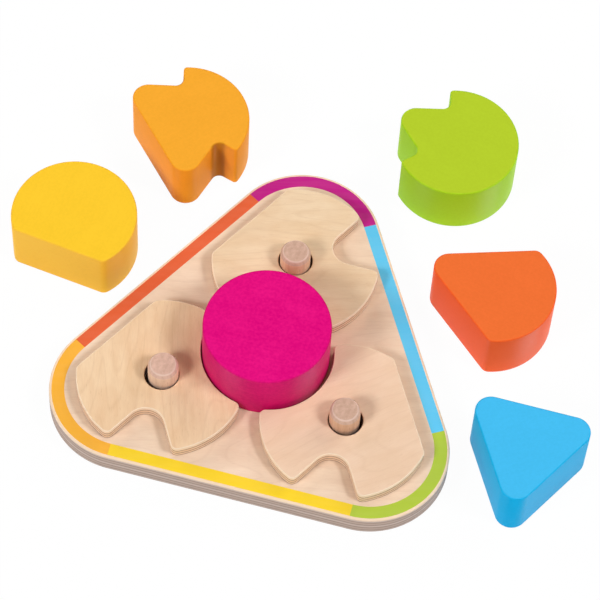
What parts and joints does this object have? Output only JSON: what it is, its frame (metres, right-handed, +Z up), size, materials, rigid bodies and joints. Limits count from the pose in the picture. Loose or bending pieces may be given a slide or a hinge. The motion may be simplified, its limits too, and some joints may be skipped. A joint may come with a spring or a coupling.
{
  "type": "wooden shape puzzle",
  "caption": "Triangular plywood board with a coloured border and dowel pegs carrying loose notched plates, which frame a central seat for painted wooden blocks of different outlines.",
  "frame": {"origin": "centre of the board's underside, on the table", "axes": "+Z up; X along the board's straight front side; +Y towards the board's far corner"},
  "size_m": [0.2434, 0.1928, 0.035],
  "materials": {
    "birch_plywood": "matte",
    "beech_dowel": "matte",
    "magenta_paint": "satin",
    "yellow_paint": "satin",
    "orange_paint": "satin",
    "green_paint": "satin",
    "red_orange_paint": "satin",
    "blue_paint": "satin"
  },
  "bodies": {
    "board": {"base_board": "birch_plywood", "far_peg": "beech_dowel", "left_peg": "beech_dowel", "right_peg": "beech_dowel"},
    "far_plate": {"far_plate": "birch_plywood"},
    "left_plate": {"left_plate": "birch_plywood"},
    "right_plate": {"right_plate": "birch_plywood"},
    "magenta_round_block": {"magenta_round_block": "magenta_paint"},
    "yellow_arch_block": {"yellow_arch_block": "yellow_paint"},
    "orange_two_corner_block": {"orange_two_corner_block": "orange_paint"},
    "green_one_corner_block": {"green_one_corner_block": "green_paint"},
    "red_fan_block": {"red_fan_block": "red_orange_paint"},
    "blue_triangle_block": {"blue_triangle_block": "blue_paint"}
  },
  "joints": [
    {"name": "far_plate_lift", "type": "slide", "parent": "board", "child": "far_plate", "axis": [0, 0, 1], "range_m": [0, 0.03]},
    {"name": "left_plate_lift", "type": "slide", "parent": "board", "child": "left_plate", "axis": [0, 0, 1], "range_m": [0, 0.03]},
    {"name": "right_plate_lift", "type": "slide", "parent": "board", "child": "right_plate", "axis": [0, 0, 1], "range_m": [0, 0.03]},
    {"name": "magenta_round_block_lift", "type": "slide", "parent": "board", "child": "magenta_round_block", "axis": [0, 0, 1], "range_m": [0, 0.05]},
    {"name": "yellow_arch_block_lift", "type": "slide", "parent": "board", "child": "yellow_arch_block", "axis": [0, 0, 1], "range_m": [0, 0.05]},
    {"name": "orange_two_corner_block_lift", "type": "slide", "parent": "board", "child": "orange_two_corner_block", "axis": [0, 0, 1], "range_m": [0, 0.05]},
    {"name": "green_one_corner_block_lift", "type": "slide", "parent": "board", "child": "green_one_corner_block", "axis": [0, 0, 1], "range_m": [0, 0.05]},
    {"name": "red_fan_block_lift", "type": "slide", "parent": "board", "child": "red_fan_block", "axis": [0, 0, 1], "range_m": [0, 0.05]},
    {"name": "blue_triangle_block_lift", "type": "slide", "parent": "board", "child": "blue_triangle_block", "axis": [0, 0, 1], "range_m": [0, 0.05]}
  ]
}
